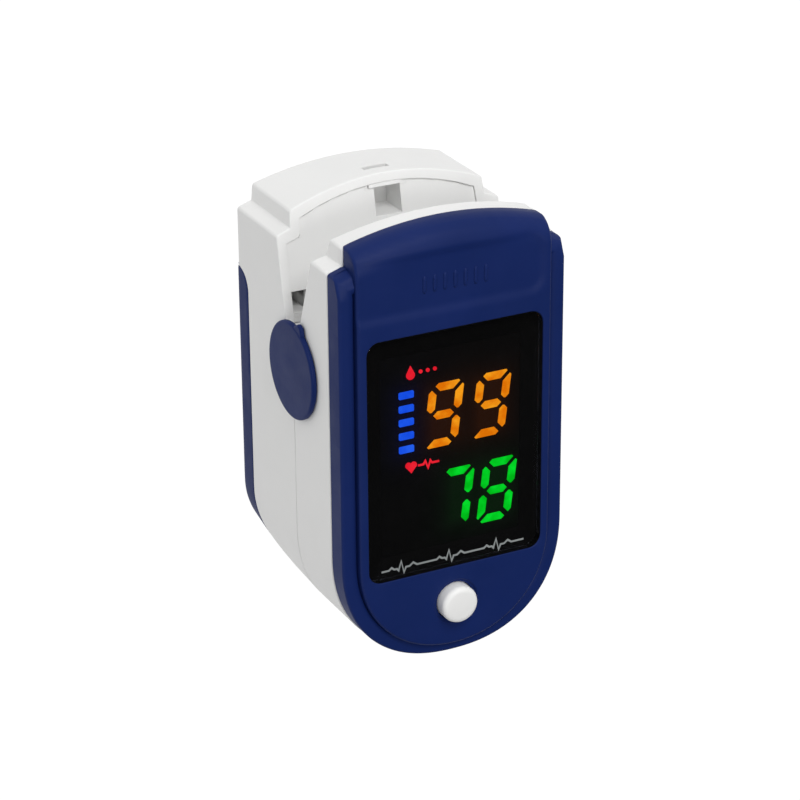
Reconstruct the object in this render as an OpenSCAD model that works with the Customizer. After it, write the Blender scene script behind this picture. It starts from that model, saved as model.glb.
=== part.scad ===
// Fingertip pulse oximeter: a spring clip of two shells hinged near the squeeze end.
// +Z is the way the display faces, +Y is towards the squeeze end, the finger goes in at -Y.
// The flat face of the battery door is z = 0.

/* [Shells] */
// Half width of both shells
half_w = 16.7; // [16.2:0.1:17.4]
// Finger end: depth of its rounded end
nose_b = 16.5; // [15.5:0.1:17]
// Finger end: y where the straight sides start
nose_y = -14.5; // [-15:0.1:-13.5]
// Squareness of the rounded finger end (2 is an ellipse)
nose_n = 2.3; // [2:0.1:2.6]
// Half width of the narrower squeeze end
plateau_w = 14.4; // [13.8:0.1:15]
// y of the corners of the squeeze end
plateau_y = 28.9; // [28:0.1:29.5]
// Crown of the squeeze end
plateau_crown = 2.1; // [1:0.1:2.5]
// y where the side shoulders begin
shoulder_y = 25.9; // [25:0.1:26.5]
// Wall thickness of the white housings
wall = 1.3; // [1.1:0.1:1.5]
// Height of the seam between the shells
seam_z = 18.2; // [18:0.1:18.4]

/* [Cover and window] */
// Lowest face of the blue cover
cover_z = 29.05; // [28.9:0.05:29.2]
// Top of the cover's rim
rim_z = 32.3; // [32.1:0.1:32.5]
// Top of the cover's raised panel
panel_z = 33; // [32.9:0.1:33.2]
// Window width
win_w = 26; // [25:0.5:26.5]
// Window length
win_l = 34.8; // [34:0.2:35]
// y of the window centre
win_y = -0.7; // [-1:0.1:0]
// Corner radius of the window
win_r = 1.8; // [1:0.1:2.5]

/* [Display] */
// Height of a digit
digit_h = 9.15; // [7:0.05:9.2]
// Width of a digit
digit_w = 5.1; // [4.5:0.1:5.2]
// Width of one segment stroke
stroke = 1.1; // [1:0.1:1.3]
// Sideways lean of a digit, per millimetre of height
lean = 0.125; // [0:0.005:0.15]

/* [Button] */
// Radius of the power button
button_r = 2.7; // [2.5:0.05:3.2]
// Top of the power button
button_z = 34.5; // [33.6:0.1:34.8]
// y of the power button
button_y = -23.5; // [-23.8:0.1:-23.2]

/* [Hinge] */
// y of the hinge axis
hinge_y = 8.8; // [8.4:0.1:9.2]
// z of the hinge axis
hinge_z = 19.1; // [18.9:0.1:19.4]
// Radius of the hinge pin
pin_r = 1.8; // [1.5:0.1:2]
// Radius of the blue hinge cap
cap_r = 6.8; // [6.4:0.1:7]
// Thickness of the blue hinge cap
cap_t = 0.8; // [0.6:0.1:1]

/* [Cells] */
// Radius of one cell (AAA)
cell_r = 5.25; // [5.1:0.05:5.25]
// Length of one cell without its nub
cell_l = 43.7; // [43:0.1:43.7]
// Half the distance between the two cells
cell_x = 5.6; // [5.5:0.1:5.8]
// Height of the cell axes
cell_z = 7.2; // [7:0.1:7.3]

/* [Hidden] */

blue = [0.11, 0.17, 0.38];
pad_grey = [0.2, 0.22, 0.27];
cell_grey = [0.16, 0.17, 0.18];
board_green = [0.05, 0.35, 0.2];
window_red = [0.5, 0.2, 0.2];

overlap = 0.01;
// reach of cutting shapes: sideways, and past the ends and the top
wide = 30;
far = 40;
nose_steps = 36;
inner_inset = wall + 0.05;  // from the outline to the inner shells

// hinge
hinge = [hinge_y, hinge_z];
ear_x = 13.7;
ear_t = 1.5;
ear_r = 5.2;
boss_r = 6;
boss_seat_r = boss_r + 0.15;
ear_bore_gap = 0.01;
boss_bore_gap = 0.05;

// finger troughs, round about axes along Y
trough_r = 17.7;
pad_t = 1.2;
shell_t = 1.2;
bed_r = trough_r + pad_t;
low_trough_z = 32.9;
up_trough_z = 5.4;
stop_y = 3;            // inner face of the finger stop
stop_end = stop_y + 1.2;

// screw posts at the squeeze end and beside the finger, [x, y]
squeeze_post = [7.8, 22.5];
finger_post = [13.55, -11];
squeeze_post_r = 2.1;
finger_post_r = 1.45;
screw_r = 0.7;
head_r = 1.25;

// ---- Shared shapes ----

function crown(x, half, rise) = rise * (1 - pow(x / half, 2));
function nose(half, depth) = [for (i = [0:nose_steps])
  let (turn = 180 + 180 * i / nose_steps)
  [half * sign(cos(turn)) * pow(abs(cos(turn)), 2 / nose_n),
   nose_y - depth * pow(abs(sin(turn)), 2 / nose_n)]];
function arch(half, y) = [for (i = [0:10])
  let (x = half - 2 * half * i / 10)
  [x, y + crown(x, half, plateau_crown)]];
// plan outline of the shells, moved in by inset
function outline(inset) =
  let (side_x = half_w - inset, side_y = shoulder_y - inset,
    corner_x = plateau_w + 0.2 - inset, corner_y = shoulder_y + 0.7 - inset)
  concat(nose(side_x, nose_b - inset),
    [[side_x, side_y], [corner_x, corner_y]],
    arch(plateau_w - inset, plateau_y - inset),
    [[-corner_x, corner_y], [-side_x, side_y]]);

// the [from, to] range centred on mid
function about(mid, half) = [mid - half, mid + half];

// x, y and z of these shapes are [from, to] ranges; at is the place of the axis
module block(x, y, z)
  translate([x[0], y[0], z[0]]) cube([x[1] - x[0], y[1] - y[0], z[1] - z[0]]);
module mid_block(half, y, z) block(about(0, half), y, z);
module xcyl(r, x, at, f = 64)
  translate([x[0], at[0], at[1]]) rotate([0, 90, 0]) cylinder(r = r, h = x[1] - x[0], $fn = f);
module ycyl(r, y, at, f = 64)
  translate([at[0], y[1], at[1]]) rotate([90, 0, 0]) cylinder(r = r, h = y[1] - y[0], $fn = f);
module zcyl(r, z, at, f = 48)
  translate([at[0], at[1], z[0]]) cylinder(r = r, h = z[1] - z[0], $fn = f);
module slab(inset, z)
  translate([0, 0, z[0]]) linear_extrude(z[1] - z[0]) polygon(outline(inset));
module ring(outer, inner, z) difference() {
  slab(outer, z);
  slab(inner, [z[0] - 1, z[1] + 1]);
}
// a side view of [y, z] points drawn across the whole width
module side_view(points)
  translate([-25, 0, 0]) rotate([90, 0, 90]) linear_extrude(50) polygon(points);
module both() {
  children();
  mirror([1, 0, 0]) children();
}
module rrect(w, h, r) {
  square([w - 2 * r, h], center = true);
  square([w, h - 2 * r], center = true);
  for (i = [-1, 1], j = [-1, 1])
    translate([i * (w / 2 - r), j * (h / 2 - r)]) circle(r = r, $fn = 48);
}

// the two slanted rims that face each other across the open squeeze end
function low_rim(y) = 16 - 0.207 * (y - 15.6);
function up_rim(y) = 20.96 + 0.37 * (y - 16.74);
low_post_z = low_rim(squeeze_post[1]);
up_post_z = up_rim(squeeze_post[1]);
// everything between height z and a line parallel to a rim, gap inside its shell
module low_side(y, gap, z) side_view([[y, z], [y, low_rim(y) - gap],
  [far, low_rim(far) - gap], [far, z]]);
module up_side(y, gap, z, y_end = far) side_view([[y, z], [y, up_rim(y) + gap],
  [y_end, up_rim(y_end) + gap], [y_end, z]]);

// a cylinder on the hinge axis
module hinge_disc(r, x, f = 64) xcyl(r, x, hinge, f);
module hinge_tube(r, bore, x) difference() {
  hinge_disc(r, x);
  hinge_disc(bore, [x[0] - 0.1, x[1] + 0.1]);
}

// room for the finger and its pad, from beyond the finger end to y_end
module finger_bore(trough_z, y_end) ycyl(bed_r, [-far, y_end], [0, trough_z], 128);

// finger tray of an inner shell, with flat flanges along its sides
module tray(trough_z, z, flange_x, flange_z) {
  intersection() {
    slab(inner_inset, z);
    difference() {
      ycyl(bed_r + shell_t, [-31, stop_end], [0, trough_z], 128);
      finger_bore(trough_z, stop_y);
    }
  }
  intersection() {
    slab(inner_inset, flange_z);
    both() block([flange_x, 16], [-20, stop_end], [10, 30]);
    difference() {
      mid_block(wide, [-far, far], [0, 30]);
      finger_bore(trough_z, stop_y);
    }
  }
}

// plate of the open squeeze end; the children cut its two slanted faces
module squeeze_plate(z) difference() {
  slab(inner_inset, z);
  mid_block(wide, [-far, 14.8], [0, far]);
  children();
}

module ear_notches()
  both() block([ear_x - 0.15, 20], about(hinge_y, 5.5), [0, 30]);

module screw_hole(at, head_z) {
  zcyl(screw_r + 0.1, [0, far], at);
  zcyl(head_r + 0.1, head_z, at);
}

// cross-head screw; z is its head's outer face, up points the shank to +Z
module screw(at, z, up, length) translate([at[0], at[1], z]) mirror([0, 0, up ? 0 : 1]) {
  difference() {
    zcyl(head_r, [0, 0.8], [0, 0], 32);
    for (slot = [[0.7, 0.15], [0.15, 0.7]]) mid_block(slot[0], about(0, slot[1]), [-0.1, 0.35]);
  }
  zcyl(screw_r - 0.02, [0.79, 0.79 + length], [0, 0], 32);
}

// ---- Optical parts, centred between the screw posts beside the finger ----

sensor_y = finger_post[1];
sensor_top = 13.5;       // top of the sensor board
emitter_bottom = 25.2;   // underside of the emitter board
optic_board_t = 0.6;
optic_chip_t = 0.9;

module optic_block(half_x, half_y, z) mid_block(half_x, about(sensor_y, half_y), z);
module optic_chip(z) optic_block(1.6, 1.6, [z, z + optic_chip_t]);
module optic_window(z) optic_block(2.45, 2.45, z);

module finger_pad(trough_z, z) difference() {
  intersection() {
    difference() {
      ycyl(bed_r - 0.03, [-31, stop_y - 0.1], [0, trough_z], 128);
      ycyl(trough_r, [-32, stop_y + 0.9], [0, trough_z], 128);
    }
    slab(0.5, z);
  }
  optic_block(2.5, 2.5, [10, 30]);
}

module sensor_board() color(board_green)
  optic_block(3, 3, [sensor_top - optic_board_t, sensor_top]);
module photodiode() color([0.1, 0.1, 0.12]) optic_chip(sensor_top);
module sensor_window() color(window_red) optic_window([14.45, 15]);

module emitter_board() color(board_green)
  optic_block(3.5, 3, [emitter_bottom, emitter_bottom + optic_board_t]);
module emitter_led() color([0.7, 0.7, 0.65]) optic_chip(emitter_bottom - optic_chip_t);
module emitter_window() color(window_red) optic_window([23.3, 24.2]);

// ---- Lower shell ----

floor_z = 1.5;           // underside of the lower housing
door_h = 4;
door_t = 1.4;
door_end_y = 17.4;
door_crown = 2.1;
cord_slot_z = [9, 10.2];
// tab of the rim over the recess at the squeeze end
tab_x = [-2.6, 2.2];
tab_y = [29.2, 29.9];
tab_z = low_rim(tab_y[1]);

// plan of the battery door, its curved end moved out by gap
module door_plan(gap, z) translate([0, 0, z[0]]) linear_extrude(z[1] - z[0])
  polygon(concat([[-wide, -far], [wide, -far]],
    [for (i = [0:16]) let (x = 20 - 2.5 * i) [x, door_end_y + gap + crown(x, 17, door_crown)]]));

// free space of the battery bay
module bay() {
  mid_block(11, [-25.6, 19.9], [0, 12]);
  mid_block(9.2, [-27.7, 19.9], [0, 12]);
}

module cord_slot(y) mid_block(1.9, [y, 33], cord_slot_z);

module lower_walls() {
  ring(0, wall, [floor_z, seam_z]);
  // thicker foot of the wall beside the door
  difference() {
    intersection() {
      ring(wall - 0.1, 3.2, [floor_z, 5.5]);
      door_plan(0, [0, 9]);
    }
    bay();
  }
  // floor between the door and the squeeze end
  difference() {
    slab(0, [floor_z, 3]);
    door_plan(0.1, [0, 9]);
  }
}

module bay_walls() {
  difference() {
    intersection() {
      mid_block(12.2, [-28.6, 21], [1.7, 11.4]);
      slab(1, [0, 20]);
    }
    bay();
  }
  // webs from the bay to the side walls
  both() block([12, 15.6], [-19, 17.4], [9.4, 10.4]);
}

module hinge_ear() {
  hinge_disc(ear_r, [ear_x, ear_x + ear_t]);
  block([ear_x, ear_x + ear_t], about(hinge_y, ear_r), [8, hinge_z]);
  block([ear_x, 15.8], about(hinge_y, ear_r), [7, 12]);
}

// posts for the inner shell's screws
module lower_posts() both() {
  zcyl(squeeze_post_r, [2.9, low_post_z - 2.25], squeeze_post);
  zcyl(finger_post_r, [9.5, 15.9], finger_post);
  block([finger_post[0], 15.6], about(finger_post[1], 0.6), [9.5, 15.9]);
}

// room for the door, its rails and its side wall
module door_room() {
  intersection() {
    difference() {
      slab(-1, [-1, door_h + 0.1]);
      slab(1.5, [-2, 5]);
    }
    door_plan(0.1, [-2, 5]);
  }
  both() block([14.3, 20], [-far, 13.6], [2.35, 3.45]);
}

module lower_housing() color("white") difference() {
  union() {
    lower_walls();
    bay_walls();
    both() hinge_ear();
    lower_posts();
    // walls on the squeeze side of the hinge, below the root of the open end
    both() difference() {
      block([13.2, 15.6], [12.5, 15.4], [10, 15.9]);
      hinge_disc(boss_seat_r, [13, 16]);
    }
    block(tab_x, tab_y, [tab_z - 0.7, 14]);
    // rests for the lower legs of the springs
    both() block([11.9, 12.9], [11.5, 16.5], [10, 13.25]);
  }
  door_room();
  low_side(14.6, 0, far);
  // round seats of the upper shell's hinge boss and of its collar
  both() hinge_disc(boss_seat_r, [ear_x + ear_t, 20]);
  both() intersection() {
    hinge_tube(boss_seat_r, ear_r, [13.1, 15.3]);
    block([0, 20], [11, 20], [0, 30]);
  }
  both() hinge_disc(pin_r + ear_bore_gap, [10, 20]);
  both() {
    zcyl(screw_r, [6, 20], squeeze_post);
    zcyl(screw_r, [11, 20], finger_post);
  }
  cord_slot(28);
  finger_bore(low_trough_z, -20);
}

module battery_door() color(blue) {
  difference() {
    intersection() {
      slab(0, [0, door_h]);
      door_plan(0, [-1, 9]);
    }
    slab(door_t, [door_t, 9]);
  }
  // side rails
  both() block([14.4, 15.4], [-10.5, 13.2], [2.5, 3.3]);
}

module lower_inner_shell() color("white") difference() {
  union() {
    tray(low_trough_z, [12, seam_z - 0.1], 11, [seam_z - 1.9, seam_z - 0.1]);
    // bridge past the hinge, and the step up to the plate
    mid_block(8.4, [stop_y + 0.5, 15], [13.6, 14.8]);
    mid_block(8.4, [13.9, 15.2], [13.6, low_rim(15) - 0.3]);
    squeeze_plate([10, 20]) {
      low_side(10, 0.25, far);
      low_side(10, 1.65, -5);
    }
    both() zcyl(2, [low_post_z - 1.95, low_post_z - 1], squeeze_post);
    // lanyard eye: a bar between the recess and the cord slot
    mid_block(3.1, [25, 29.3], [8, 13]);
  }
  // recess behind the cord slot
  cord_slot(26);
  block([-1.8, 2.1], [26, 29.1], [8.8, 20]);
  // notch for the tab of the rim
  block([tab_x[0] - 0.1, tab_x[1] + 0.1], [tab_y[0] - 0.1, 33], [tab_z - 0.8, 20]);
  // slot for the cable
  mid_block(3.4, [5.4, 6.9], [13, 15.5]);
  both() {
    screw_hole(squeeze_post, [low_post_z - 0.9, 30]);
    screw_hole(finger_post, [seam_z - 1.1, 30]);
  }
  // sensor pocket
  optic_block(3.1, 3.1, [10, 20]);
  ear_notches();
  // open corners on the squeeze side of the hinge axis
  both() block([13, 20], [hinge_y, 18.2], [12.5, 30]);
}

module lower_finger_pad() color(pad_grey) finger_pad(low_trough_z, [12, seam_z - 0.3]);

module lower_screws() color("silver") both() {
  screw(squeeze_post, low_post_z - 0.1, up = false, length = 6);
  screw(finger_post, seam_z - 0.25, up = false, length = 5.5);
}

// ---- Cells and contacts ----

cell_y = -25.3;          // end of the cells nearest the finger end
nub_l = 0.5;
wire_r = 0.33;           // wire of the contact spring

// a cell that starts at y, with its nub towards +Y, or towards -Y if flipped
module battery(x, y, flip) translate([x, y, 0]) mirror([0, flip ? 1 : 0, 0]) {
  ycyl(cell_r, [0, cell_l], [0, cell_z]);
  ycyl(1.9, [cell_l - overlap, cell_l + nub_l], [0, cell_z]);
}
module battery_left() color(cell_grey) battery(-cell_x, cell_y, false);
module battery_right() color(cell_grey) battery(cell_x, cell_y + cell_l + nub_l, true);

module contact_link() color("silver") {
  mid_block(8, [-27.6, -27.3], [4.2, 10.8]);
  // a short coil whose turns touch, along +Y
  for (i = [0:2])
    translate([-cell_x, -27.35 + wire_r + i * wire_r * 1.9, cell_z]) rotate([90, 0, 0])
      rotate_extrude($fn = 48) translate([3.1 - 0.1 * i, 0]) circle(r = wire_r, $fn = 16);
  ycyl(2, [-27.4, -25.35], [cell_x, cell_z]);
}

// plate and round pad at the squeeze end of the right cell
module end_contact(pad_r) {
  block([2, 9], [19.5, 19.8], [3, 11]);
  ycyl(pad_r, [18.95, 19.6], [cell_x, cell_z]);
}
module contact_positive() color("silver") mirror([1, 0, 0]) end_contact(2.2);
module contact_negative() color("silver") end_contact(3.3);

// ---- Hinge caps, springs and cable ----

cap_x = half_w + 0.1;
spring_x = 9.4;          // first turn
spring_r = 2.9;
spring_pitch = 0.75;
spring_steps = 4;        // pitches from the first turn to the last
cable_t = 0.2;
// [y, z] along the middle of the cable
cable_path = [[-7.9, 12.4], [5.6, 12.4], [6.1, 12.9], [6.1, 15.3], [6.6, 15.8], [10.4, 15.8],
  [11.2, 16.6], [11.2, 21.8], [10.4, 22.6], [8.2, 22.6], [7.6, 23.2], [7.6, 26.1]];

// cap with a small tab on its edge, and its pin
module hinge_cap() {
  hinge_disc(cap_r, [cap_x, cap_x + cap_t], 96);
  translate([cap_x, hinge_y, hinge_z]) rotate([20.6, 0, 0])
    block([0, cap_t], [5.9, 7.7], about(0, 0.95));
  hinge_disc(pin_r, [8.6, half_w + 0.2]);
}
module hinge_cap_right() color(blue) hinge_cap();
module hinge_cap_left() color(blue) mirror([1, 0, 0]) hinge_cap();

// a straight leg from the coil at x, tangent to it on the side given by the sign of tilt
module spring_leg(x, tilt)
  translate([x, hinge_y, hinge_z]) rotate([tilt, 0, 0])
    translate([0, 0, sign(tilt) * spring_r]) rotate([-90, 0, 0])
      cylinder(r = 0.34, h = 7.2, $fn = 24);
module torsion_spring() {
  translate([spring_x, hinge_y, hinge_z]) rotate([0, 90, 0])
    rotate_extrude($fn = 64)
      for (i = [0:spring_steps])
        translate([spring_r, i * spring_pitch]) circle(r = 0.4, $fn = 24);
  spring_leg(spring_x, 20);
  spring_leg(spring_x + spring_steps * spring_pitch, -20);
}
module torsion_spring_right() color("silver") torsion_spring();
module torsion_spring_left() color("silver") mirror([1, 0, 0]) torsion_spring();

// a flat strip that follows the path, rounded at its bends
module flex_cable() color([0.75, 0.5, 0.15]) {
  for (i = [0:len(cable_path) - 2])
    let (start = cable_path[i], run = cable_path[i + 1] - start)
      translate([0, start[0], start[1]]) rotate([atan2(run[1], run[0]), 0, 0])
        mid_block(3, [0, norm(run)], about(0, cable_t / 2));
  for (i = [1:len(cable_path) - 2]) xcyl(cable_t / 2, [-3, 3], cable_path[i], 16);
}

// ---- Upper shell ----

module upper_housing() color("white") difference() {
  union() {
    difference() {
      ring(0, wall, [seam_z + 0.15, 29]);
      up_side(14.6, 0, -5);
    }
    // lip that locates the cover
    intersection() {
      union() {
        ring(wall - 0.1, 2.4, [26.6, 28.9]);
        ring(1.45, 2.4, [28.8, 30.2]);
      }
      mid_block(wide, [-far, 21.5], [0, far]);
    }
    // hinge bosses
    both() hinge_disc(boss_r, [half_w - wall, half_w]);
    both() block([half_w - wall, half_w], about(hinge_y, 5.8), [hinge_z, hinge_z + 4]);
    // collars that close the root of the open end
    both() intersection() {
      hinge_tube(boss_r, 5.4, [14, half_w - wall + 0.1]);
      block([0, 20], [13.6, 20], [0, hinge_z + 2.5]);
    }
  }
  both() hinge_disc(pin_r + boss_bore_gap, [10, 20]);
  finger_bore(up_trough_z, -20);
}

module upper_inner_shell() color("white") difference() {
  union() {
    tray(up_trough_z, [seam_z + 0.25, 26], 11.8, [seam_z + 0.25, seam_z + 2.1]);
    // bridge past the hinge
    mid_block(8.4, [stop_y + 0.5, 14.5], [24.3, 25.4]);
    squeeze_plate([19, 30]) {
      up_side(10, 0.25, -5);
      up_side(10, 1.65, 50);
    }
    // step from the bridge down to the plate
    mid_block(8.4, [13.5, 14.9], [up_rim(14.6) + 0.3, 25.4]);
    mid_block(8.4, [14.8, 15.6], [up_rim(15.6) + 0.4, up_rim(15.6) + 1.8]);
    both() zcyl(2, [up_post_z + 1, up_post_z + 2.1], squeeze_post);
    // hooks that the upper legs of the springs push on
    both() {
      block([8.3, 11.4], [14.9, 15.9], [up_rim(15.9) + 0.5, 25.4]);
      block([8.3, 11.4], [13.2, 15.9], [24.85, 25.65]);
    }
  }
  // slot for the cable
  mid_block(3.4, [6.8, 8.4], [24, 26]);
  both() {
    // seats of the cover's posts
    zcyl(finger_post_r + 0.12, [seam_z + 2.1, far], finger_post);
    screw_hole(squeeze_post, [0, up_post_z + 1]);
    screw_hole(finger_post, [0, seam_z + 1.3]);
  }
  // emitter pocket
  optic_block(3.6, 3.1, [20, 30]);
  ear_notches();
}

module upper_finger_pad() color(pad_grey) intersection() {
  finger_pad(up_trough_z, [seam_z + 0.45, 26]);
  mid_block(12.1, [-far, far], [0, far]);
}

module upper_screws() color("silver") both() {
  screw(squeeze_post, up_post_z + 0.1, up = true, length = 4.5);
  screw(finger_post, seam_z + 0.4, up = true, length = 5.5);
}

// ---- Cover and window ----

scoop_r = 60;
scoop_depth = 0.35;
button_at = [0, button_y];

// the window's plan, grown by grow in width and length and by corner at its corners
module window_slab(grow, corner, z, height) translate([0, win_y, z])
  linear_extrude(height) rrect(win_w + grow, win_l + grow, win_r + corner);

module display_cover() color(blue) difference() {
  union() {
    difference() {
      union() {
        slab(0.1, [cover_z, rim_z]);
        slab(2.3, [rim_z - 0.1, panel_z]);
      }
      slab(1.4, [20, 31.1]);
      mid_block(wide, [plateau_y - 0.6, far], [rim_z, far]);
    }
    both() {
      zcyl(squeeze_post_r, [up_post_z + 2.15, 31.5], squeeze_post);
      zcyl(finger_post_r, [seam_z + 2.15, 31.5], finger_post);
    }
  }
  // room for the upper housing's lip
  ring(1.35, 2.5, [26.4, 30.3]);
  // the posts stop above the inner shell's sloping plate
  up_side(14.8, 1.75, 10, 32);
  // seat and opening of the window
  window_slab(0.1, 0.05, 31.85, 5);
  window_slab(-2.4, -0.6, 29, 5);
  // button hole and the shallow ring round it
  zcyl(button_r + 0.08, [25, far], button_at);
  zcyl(button_r + 0.55, [panel_z - 0.3, far], button_at);
  both() {
    zcyl(screw_r, [0, 29.5], squeeze_post);
    zcyl(screw_r, [0, 29.5], finger_post);
  }
  // shallow thumb scoop on the squeeze side of the window
  xcyl(scoop_r, [-10, 10], [24, panel_z + scoop_r - scoop_depth], 200);
}

module display_lens() color([0.05, 0.05, 0.06]) window_slab(0, 0, 31.87, 0.8);

// ---- Display ----

display_top = 31.4;
stroke_gap = 0.5;        // half the gap between strokes

module display_module() color([0.03, 0.03, 0.03])
  mid_block(10.6, [-15.4, 13.6], [27.35, display_top]);

module glow() translate([0, 0, display_top]) linear_extrude(0.15) children();
module leaning(points) polygon([for (p = points) [p[0] + lean * p[1], p[1]]]);

// top or bottom stroke: y is its outer edge and way is 1 for the bottom, -1 for the top;
// left and right blunt its tips
module cross_stroke(y, way, left, right)
  let (start = stroke_gap, end = digit_w - stroke_gap)
    leaning([[start + left, y], [end - right, y],
      [end - right / 2, y + way * right / 2], [end - stroke, y + way * stroke],
      [start + stroke, y + way * stroke], [start + left / 2, y + way * left / 2]]);
module middle_stroke()
  let (half = stroke / 2, mid = digit_h / 2, start = stroke_gap, end = digit_w - stroke_gap)
    leaning([[start + half, mid], [start + stroke, mid + half], [end - stroke, mid + half],
      [end - half, mid], [end - stroke, mid - half], [start + stroke, mid - half]]);
// side stroke: x is its outer edge and inward its way in; it runs from height y by way to
// the middle; blunt cuts its outer tip
module side_stroke(x, inward, y, way, blunt)
  let (half = stroke / 2, reach = digit_h / 2 - 0.45, tip = 0.12)
    leaning([[x, y + way * (stroke_gap + blunt)],
      [x + inward * blunt / 2, y + way * (stroke_gap + blunt / 2)],
      [x + inward * stroke, y + way * (stroke_gap + stroke)],
      [x + inward * stroke, y + way * (reach - half)],
      [x + inward * (half + tip), y + way * (reach - tip)],
      [x + inward * (half - tip), y + way * (reach - tip)],
      [x, y + way * (reach - half)]]);

// strokes lit: top, upper right, lower right, bottom, lower left, upper left, middle
SEVEN = [1, 1, 1, 0, 0, 0, 0];
EIGHT = [1, 1, 1, 1, 1, 1, 1];
NINE = [1, 1, 1, 1, 0, 1, 1];
module digit(x, y, on) translate([x, y, 0]) glow() {
  if (on[0]) cross_stroke(digit_h, -1, 0.8, 0.3);
  if (on[1]) side_stroke(digit_w, -1, digit_h, -1, 0.3);
  if (on[2]) side_stroke(digit_w, -1, 0, 1, 0.8);
  if (on[3]) cross_stroke(0, 1, 0.3, 0.8);
  if (on[4]) side_stroke(0, 1, 0, 1, 0.3);
  if (on[5]) side_stroke(0, 1, digit_h, -1, 0.8);
  if (on[6]) middle_stroke();
}
module oxygen_digits() color([1, 0.55, 0.1])
  for (x = [-4.2, 2.92]) digit(x, -0.65, NINE);
module pulse_digits() color([0.1, 0.85, 0.2]) {
  digit(-2.6, -13.45, SEVEN);
  digit(3.9, -13.45, EIGHT);
}
module level_bars() color([0.1, 0.25, 1])
  for (i = [0:4]) translate([-6.6, 7.8 - 1.955 * i, 0]) glow() rrect(2.2, 1, 0.2);
module display_icons() color([0.9, 0.1, 0.1]) glow() {
  // drop
  translate([-5.95, 10.5]) {
    circle(r = 0.62, $fn = 32);
    polygon([[-0.58, 0.22], [0.58, 0.22], [0, 1.35]]);
  }
  // heart
  translate([-5.93, -2.7]) {
    for (i = [-1, 1]) translate([i * 0.38, 0.2]) circle(r = 0.46, $fn = 32);
    polygon([[-0.8, 0.03], [0.8, 0.03], [0, -0.95]]);
  }
}

// ---- Main board and button ----

board_top = 27.3;
board_t = 1.1;

module main_board() color(board_green) difference() {
  intersection() {
    slab(2.9, [board_top - board_t, board_top]);
    mid_block(wide, [-far, 24.4], [0, far]);
  }
  // notches round the cover's posts
  both() {
    block([squeeze_post[0] - 2.4, 16], [20, 30], [20, 30]);
    block([11.6, 16], about(finger_post[1], 2), [20, 30]);
  }
}
module controller_chip() color([0.08, 0.08, 0.09])
  mid_block(3.5, [15.6, 22.6], [board_top, board_top + 1]);
module tact_switch() color([0.15, 0.15, 0.16]) difference() {
  mid_block(3, about(button_y, 3), [board_top, 29.2]);
  zcyl(1.65, [28, 30], button_at);
}
module switch_plunger() color([0.75, 0.2, 0.15]) zcyl(1.55, [28.55, 30.28], button_at);
// button with a wider flange under the cover
module power_button() color("white") {
  zcyl(button_r, [30.9, button_z], button_at, 64);
  zcyl(button_r + 0.7, [30.3, 30.95], button_at, 64);
}

lower_housing();
lower_inner_shell();
lower_finger_pad();
battery_door();
battery_left();
battery_right();
contact_link();
contact_positive();
contact_negative();
sensor_board();
photodiode();
sensor_window();
lower_screws();
hinge_cap_left();
hinge_cap_right();
torsion_spring_left();
torsion_spring_right();
flex_cable();
upper_housing();
upper_inner_shell();
upper_finger_pad();
display_cover();
display_lens();
display_module();
oxygen_digits();
pulse_digits();
level_bars();
display_icons();
main_board();
controller_chip();
tact_switch();
switch_plunger();
power_button();
emitter_board();
emitter_led();
emitter_window();
upper_screws();
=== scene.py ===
"""Fingertip pulse oximeter: a white sprung clip with a blue display cover and battery door.

X runs across the clip, Y along it and Z up. The finger goes in at -Y and the clip is
squeezed at +Y. The battery door is underneath, from Z = 0, and the display is on top.
Sizes are in mm and meshes are built in metres, unless a comment says otherwise.
"""
import math
from contextlib import contextmanager

import bmesh
import bpy
from mathutils import Matrix, Vector, geometry


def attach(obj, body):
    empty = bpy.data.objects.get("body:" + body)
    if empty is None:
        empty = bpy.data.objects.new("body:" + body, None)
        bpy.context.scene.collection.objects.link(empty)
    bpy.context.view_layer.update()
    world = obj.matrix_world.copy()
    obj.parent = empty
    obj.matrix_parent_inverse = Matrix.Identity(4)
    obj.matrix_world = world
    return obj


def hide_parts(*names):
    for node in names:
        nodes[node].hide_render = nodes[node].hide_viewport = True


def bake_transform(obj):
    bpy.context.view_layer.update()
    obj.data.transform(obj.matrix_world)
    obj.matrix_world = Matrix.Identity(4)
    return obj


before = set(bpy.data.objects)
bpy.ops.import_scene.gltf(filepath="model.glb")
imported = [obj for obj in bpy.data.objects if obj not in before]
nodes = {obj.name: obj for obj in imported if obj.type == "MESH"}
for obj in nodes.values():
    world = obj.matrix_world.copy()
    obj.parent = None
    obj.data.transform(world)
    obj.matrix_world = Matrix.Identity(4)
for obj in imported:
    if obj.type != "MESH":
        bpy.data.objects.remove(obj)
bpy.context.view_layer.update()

MM = 0.001

# ---------------------------------------------------------------- sizes
HALF_W = 16.7           # half width of the shells
NOSE_LENGTH = 16.6      # length of the rounded finger end
NOSE_Y = -14.5          # where the finger end meets the straight sides
NOSE_POWER = 2.33       # exponent of its superellipse
END_HALF_W = 14.4       # half width of the narrower squeeze end
END_Y = 28.9            # corners of the squeeze end
CROWN = 2.1             # how far the middle of the squeeze end stands out
SHOULDER_Y = 25.9       # where the sides step in to the squeeze end
WALL = 1.3
UPPER_TOP = 29.0        # top of the upper shell's wall
RIM_SLOPE = 0.207       # fall of the lower shell's rim towards the squeeze end
HINGE_Y, HINGE_Z = 8.8, 19.1
DOOR_FLOOR = 1.4        # thickness of the battery door

COVER_Z = 29.05         # foot of the display cover
RIM_Z = 32.3            # top of its outer rim
PANEL_Z = 33.0          # top of its raised panel
PANEL_HALF_W = 14.3
PANEL_NOSE_Y = -15.3
PANEL_OUT = 0.12        # how far the panel stands out at the squeeze end
PANEL_EDGE = 0.45       # edge radius of the panel
PANEL_ROLL = 3.5        # radius of its roll down at the squeeze end

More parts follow.
